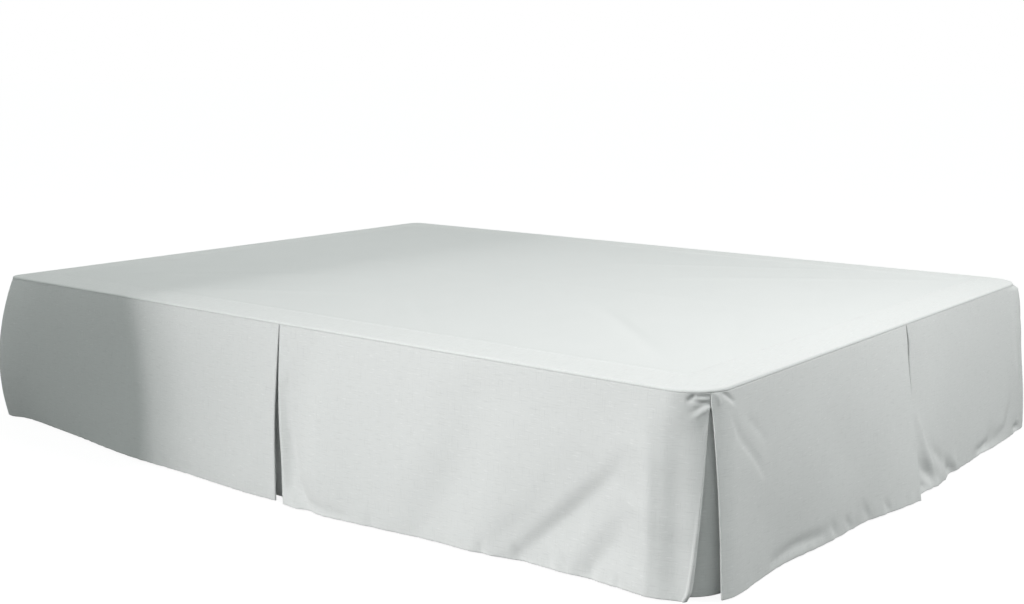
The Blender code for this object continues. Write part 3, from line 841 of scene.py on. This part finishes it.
def buildDeck():
    rim, seam, reach = deck["rim"], deck["border"], deck["seamReach"]
    edgeX, edgeY = halfWidth - rim, halfLength - rim
    seamX, seamY = halfWidth - seam, halfLength - seam
    columns = stops(
        (-edgeX, -seamX - reach, -seamX + reach, seamX - reach, seamX + reach, edgeX),
        (12, 6, deck["columns"], 6, 12),
    )
    rows = stops(
        (-edgeY, -seamY - reach, -seamY + reach, seamY - reach, seamY + reach, edgeY),
        (12, 6, deck["rows"], 6, 12),
    )
    radii = {-1: bed["footCorner"] - rim, 1: bed["headCorner"] - rim}

    def rounded(x, y):  # the point moved inside the round corner, and its way outward
        signX, signY = math.copysign(1, x), math.copysign(1, y)
        radius = radii[signY]
        cornerX, cornerY = (abs(x) - edgeX) / radius + 1, (abs(y) - edgeY) / radius + 1
        if cornerX <= 0 or cornerY <= 0:
            sideways = abs(x) - edgeX > abs(y) - edgeY
            return Vector((x, y, 0)), Vector((signX, 0, 0)) if sideways else Vector((0, signY, 0))
        nearX = cornerX * math.sqrt(1 - cornerY**2 / 2)
        nearY = cornerY * math.sqrt(1 - cornerX**2 / 2)
        away = Vector((signX * nearX, signY * nearY, 0))
        centre = Vector((signX * (edgeX - radius), signY * (edgeY - radius), 0))
        return centre + away * radius, away.normalized()

    bm = bmesh.new()
    bmesh.ops.create_grid(bm, x_segments=len(columns) - 1, y_segments=len(rows) - 1, size=0.5)
    bm.verts.index_update()
    bm.verts.ensure_lookup_table()
    layer = bm.loops.layers.uv.new("cloth")
    outward, flatPlace = {}, {}
    for vert in bm.verts:
        row, column = divmod(vert.index, len(columns))
        spot, away = rounded(columns[column], rows[row])
        inset = min(edgeX - abs(columns[column]), edgeY - abs(rows[row]))
        outward[vert], flatPlace[vert] = away, spot.xy
        vert.co = spot + bed["centre"] + Vector((0, 0, deck["level"] + deckRise(spot, inset)))
    for face in bm.faces:
        middle = face.calc_center_median() - bed["centre"]
        inside = abs(middle.x) < seamX and abs(middle.y) < seamY
        face.material_index = 1 if inside else 0
    edges = [edge for edge in bm.edges if edge.is_boundary]
    base = {vert: vert.co.copy() for edge in edges for vert in edge.verts}
    turns = [(rim * math.sin(angle), rim * (math.cos(angle) - 1)) for angle in spaced(0, math.pi / 2, 6)[1:]]
    turns += [(rim, -rim - deck["lip"]), (rim - 0.002, -rim - deck["lip"])]
    for sideways, drop in turns:
        edges, moved = grow(bm, edges, base)
        base = {vert: base[old] for old, vert in moved.items()}
        for old, vert in moved.items():
            outward[vert] = outward[old]
            flatPlace[vert] = flatPlace[old] + outward[old].xy * deck["rimCloth"]
            vert.co = base[vert] + outward[vert] * sideways
            vert.co.z = deck["level"] + drop
    for face in bm.faces:
        for loop in face.loops:
            loop[layer].uv = flatPlace[loop.vert] + Vector(deck["clothShift"])
    piece = addPiece("deckPanel", bm, ("skirt", "deck"), replaces=["deck"])
    solidify = piece.modifiers.new("cloth", "SOLIDIFY")
    solidify.thickness = deck["thickness"]
    solidify.offset = 0.0


buildDeck()
print("deck laid")


def outline(inset):  # the closed outline of the base, seen from above, moved inside the ring
    places = spaced(-headRun, 0, 8) + spaced(0, sideRun, 24)[1:-1] + spaced(sideRun, sideRun + cornerRun, 12)
    places += spaced(sideRun + cornerRun, footMiddle, 10)[1:-1]
    places += [ringLength - place for place in places[::-1]]
    return [ringPoint(place, -inset) for place in places]


base = {
    "inset": 0.0080,
    "bottom": 0.160,
    "top": 0.360,
    "edge": 0.018,
    "tuck": 0.0006,
    "tuckFrom": 0.045,
    "tuckTo": 0.075,
    "piping": 0.0021,
    "pipingIn": 0.022,
}


def loft(rings):  # a shell grown from one closed outline through the others, capped at both ends
    bm = bmesh.new()
    chain = [bm.verts.new(point) for point in rings[0]]
    edges = [bm.edges.new(pair) for pair in zip(chain, chain[1:] + chain[:1])]
    bm.faces.new(chain)
    for ring in rings[1:]:
        edges, moved = grow(bm, edges, chain)
        chain = [moved[vert] for vert in chain]
        for vert, point in zip(chain, ring):
            vert.co = point
    bm.faces.new(chain)
    bmesh.ops.recalc_face_normals(bm, faces=bm.faces)
    return bm


def buildBase():
    inset, edge, low, high = base["inset"], base["edge"], base["bottom"], base["top"]
    profile = []
    for angle in spaced(0, math.pi / 2, 5):
        profile.append((inset + edge * (1 - math.sin(angle)), low + edge * (1 - math.cos(angle))))
    tucked, near, far = inset + base["tuck"], base["tuckFrom"], base["tuckTo"]
    profile += [(tucked, low + near), (inset, low + far), (inset, high - far), (tucked, high - near)]
    for angle in spaced(0, math.pi / 2, 5):
        profile.append((inset + edge * (1 - math.cos(angle)), high - edge * (1 - math.sin(angle))))
    rings = [[point + Vector((0, 0, level)) for point in outline(inside)] for inside, level in profile]
    addPiece("boxSpring", loft(rings), "ticking", smoothAngle=50, replaces=["box_spring"])
    for name, level in (("pipingTop", high - base["pipingIn"]), ("pipingBottom", low + base["pipingIn"])):
        line = bpy.data.curves.new(name, "CURVE")
        line.dimensions = "3D"
        line.bevel_depth = base["piping"]
        line.bevel_resolution = 3
        points = outline(inset + 0.0003)
        spline = line.splines.new("POLY")
        spline.points.add(len(points) - 1)
        spline.use_cyclic_u = True
        for knot, point in zip(spline.points, points):
            knot.co = (*(point + Vector((0, 0, level))), 1)
        holder = bpy.data.objects.new(name + "Line", line)
        bpy.context.scene.collection.objects.link(holder)
        bpy.context.view_layer.update()
        mesh = bpy.data.meshes.new_from_object(holder)
        bm = bmesh.new()
        bm.from_mesh(mesh)
        bpy.data.objects.remove(holder)
        addPiece(name, bm, "piping")


buildBase()
print("box spring built")

rails = {"width": 0.038, "thickness": 0.004, "inset": 0.045, "top": 0.1597, "rounding": 0.0007, "gap": 0.0003}
legs = {"radius": 0.016, "spread": 0.850, "foot": 0.026, "footHeight": 0.014, "sides": 40}
railSide = halfWidth - base["inset"] - rails["inset"]
railLength = bed["length"] - 2 * base["inset"] - 2 * rails["inset"]


def buildRail(name, node, length, spot, turn):
    width, thick = rails["width"], rails["thickness"]
    shape = ((0, 0), (0, -width), (thick, -width), (thick, -thick), (width, -thick), (width, 0))
    bm = bmesh.new()
    section = bm.faces.new([bm.verts.new((across, -length / 2, up)) for across, up in shape])
    grown = bmesh.ops.extrude_face_region(bm, geom=[section])["geom"]
    grown = [item for item in grown if isinstance(item, bmesh.types.BMVert)]
    bmesh.ops.translate(bm, vec=(0, length, 0), verts=grown)
    bmesh.ops.recalc_face_normals(bm, faces=bm.faces)
    bmesh.ops.bevel(
        bm, geom=bm.edges, offset=rails["rounding"], segments=2, profile=0.5, affect="EDGES", material=-1
    )
    place = Matrix.Translation(bed["centre"] + Vector((*spot, rails["top"]))) @ Matrix.Rotation(turn, 4, "Z")
    bmesh.ops.transform(bm, matrix=place, verts=bm.verts)
    addPiece(name, bm, "rail", smoothAngle=40, replaces=[node])


def turned(profile, centre, sides):
    bm = bmesh.new()
    verts = [bm.verts.new((radius, 0, level)) for radius, level in profile]
    edges = [bm.edges.new(pair) for pair in zip(verts, verts[1:])]
    bmesh.ops.spin(
        bm, geom=verts + edges, axis=(0, 0, 1), cent=(0, 0, 0), angle=2 * math.pi, steps=sides, use_merge=True
    )
    bmesh.ops.remove_doubles(bm, verts=bm.verts, dist=0.00005)
    bmesh.ops.recalc_face_normals(bm, faces=bm.faces)
    bmesh.ops.translate(bm, vec=centre, verts=bm.verts)
    return bm


def buildLeg(name, node, spot):
    top = rails["top"] - rails["thickness"] - rails["gap"]
    radius, foot, height = legs["radius"], legs["foot"], legs["footHeight"]
    profile = (
        (0.0, 0.0), (foot - 0.003, 0.0), (foot - 0.0008, 0.0009), (foot, 0.003), (foot, height - 0.004),
        (foot - 0.0012, height - 0.0014), (foot - 0.004, height), (radius + 0.003, height + 0.001),
        (radius + 0.0005, height + 0.003), (radius, height + 0.006), (radius, top - 0.022),
        (radius - 0.0012, top - 0.021), (radius - 0.0012, top - 0.018), (radius, top - 0.017),
        (radius, top - 0.0008), (radius - 0.0008, top), (0.0, top),
    )
    bm = turned(profile, bed["centre"] + Vector(spot), legs["sides"])
    addPiece(name, bm, "leg", smoothAngle=40, replaces=[node])


def buildFrame():
    buildRail("sideRailLeft", "side_rail_left", railLength, (-railSide, 0), 0)
    buildRail("sideRailRight", "side_rail_right", railLength, (railSide, 0), math.pi)
    ways = {"Foot": -railLength / 2, "Middle": -rails["width"] / 2, "Head": railLength / 2 - rails["width"]}
    between = 2 * (railSide - rails["width"] - rails["gap"])
    for name, place in ways.items():
        buildRail(f"crossRail{name}", f"cross_rail_{name.lower()}", between, (0, place), math.pi / 2)
    standOff = rails["thickness"] + rails["gap"] + legs["radius"]
    buildLeg("legCentre", "leg_centre", (0, ways["Middle"] + standOff, 0))
    for name, along in (("Foot", -legs["spread"]), ("Middle", 0.0), ("Head", legs["spread"])):
        for hand, sign in (("Left", -1), ("Right", 1)):
            node = f"leg_{name}_{hand}".lower()
            buildLeg(f"leg{name}{hand}", node, (sign * (railSide - standOff), along, 0))


buildFrame()
print("frame built")

stageLook = {
    "floorBounce": (0.08, 0.08, 0.08),
    "floorSeen": (0.16, 0.16, 0.16),
    "floorGlow": (0.93, 0.93, 0.93),
    "worldSeen": (1.0, 1.0, 1.0),
    "worldLow": (0.688, 0.740, 0.720),
    "worldMiddle": (0.590, 0.635, 0.618),
    "worldHigh": (0.158, 0.170, 0.165),
    "cardGlow": (0.62, 0.67, 0.65),
    "lightColour": (1.0, 0.985, 0.985),
}
studioLights = {
    "side": {"spot": (-4.435, 2.005, 1.8), "aim": (-0.75, -0.4, 0.2), "size": 1.40, "power": 93.0},
    "sideMiddle": {"spot": (-4.72, 1.48, 1.8), "aim": (-0.75, -0.4, 0.2), "size": 0.30, "power": 40.0},
    "sideEdge": {"spot": (-4.77, 1.39, 1.8), "aim": (-0.75, -0.4, 0.2), "size": 0.10, "power": 22.0},
    "front": {"spot": (0.1, -2.3, 2.2), "aim": (0.1, -1.0, 0.2), "size": 0.6, "power": 30.0},
    "top": {"spot": (0.1, 0.2, 2.6), "aim": (0.1, 0.2, 0.3), "size": 1.6, "power": 6.0},
}
# A card that keeps the side light off the head end: its plane, its slanted edge as a distance along
# the bed and a height, and its far side
card = {
    "plane": -2.40,
    "edge": ((0.748, 0.40), (0.799, 0.729), (0.814, 0.804), (0.842, 0.885), (0.876, 0.950), (1.03, 1.30)),
    "far": 1.75,
}


def addStage(name, bm, paint):
    mesh = bpy.data.meshes.new(name)
    bm.to_mesh(mesh)
    bm.free()
    mesh.materials.append(paint)
    piece = bpy.data.objects.new(name, mesh)
    bpy.context.scene.collection.objects.link(piece)
    return piece


def buildStage():
    bm = bmesh.new()
    bmesh.ops.create_grid(bm, x_segments=8, y_segments=8, size=60.0)
    paint = Finish("floorPaint")
    seen = paint.node("ShaderNodeLightPath", out=0)
    tone = paint.blend(seen, stageLook["floorBounce"], stageLook["floorSeen"])
    glow = paint.blend(seen, (0.0, 0.0, 0.0), stageLook["floorGlow"])
    floorPaint = paint.done(
        Base_Color=tone, Roughness=0.9, Specular_IOR_Level=0.0, Emission_Color=glow, Emission_Strength=1.0
    )
    addStage("floor", bm, floorPaint)
    world = bpy.data.worlds.new("studio")
    bpy.context.scene.world = world
    world.use_nodes = True
    sky = Finish("studio", world.node_tree)
    way = sky.node("ShaderNodeTexCoord", out=0)
    height = sky.node("ShaderNodeSeparateXYZ", values={0: way}).of("Z")
    light = sky.blend(sky.between(height, 0.25, 0.45), stageLook["worldLow"], stageLook["worldMiddle"])
    light = sky.blend(sky.between(height, 0.65, 0.85), light, stageLook["worldHigh"])
    seen = sky.node("ShaderNodeLightPath", out=0)
    light = sky.blend(seen, light, stageLook["worldSeen"])
    glow = sky.node("ShaderNodeBackground", values={"Color": light, "Strength": 1.0})
    sky.node("ShaderNodeOutputWorld", values={"Surface": glow})


def buildCard():
    bm = bmesh.new()
    across, heights = card["edge"], (card["edge"][-1][1], card["edge"][0][1])
    corners = [*across, (card["far"], heights[0]), (card["far"], heights[1])]
    bm.faces.new([bm.verts.new((card["plane"], along, up)) for along, up in corners])
    paint = Finish("cardPaint")
    glow = stageLook["cardGlow"]
    cardPaint = paint.done(
        Base_Color=(0.0, 0.0, 0.0), Specular_IOR_Level=0.0, Emission_Color=glow, Emission_Strength=1.0
    )
    addStage("card", bm, cardPaint).visible_camera = False


def addLight(name, spot, aim, size, power):
    light = bpy.data.lights.new(name, "AREA")
    light.shape = "DISK"
    light.size = size
    light.energy = power
    light.color = stageLook["lightColour"]
    lamp = bpy.data.objects.new(name, light)
    lamp.location = spot
    lamp.rotation_euler = (Vector(aim) - Vector(spot)).to_track_quat("-Z", "Y").to_euler()
    lamp.visible_camera = False
    bpy.context.scene.collection.objects.link(lamp)


buildStage()
buildCard()
for name, light in studioLights.items():
    addLight(name, **light)

camera = {"spot": (-2.639, -2.093, 0.888), "turn": 51.54, "tilt": 9.85, "lens": 48.08}


def addCamera():
    lens = bpy.data.cameras.new("camera")
    lens.lens = camera["lens"]
    lens.sensor_width = 36.0
    lens.clip_end = 200.0
    holder = bpy.data.objects.new("camera", lens)
    holder.location = camera["spot"]
    holder.rotation_euler = (math.radians(90 - camera["tilt"]), 0, -math.radians(camera["turn"]))
    bpy.context.scene.collection.objects.link(holder)
    bpy.context.scene.camera = holder


addCamera()
bpy.context.scene.view_settings.view_transform = "Standard"
bpy.context.scene.view_settings.look = "None"
print("studio set")
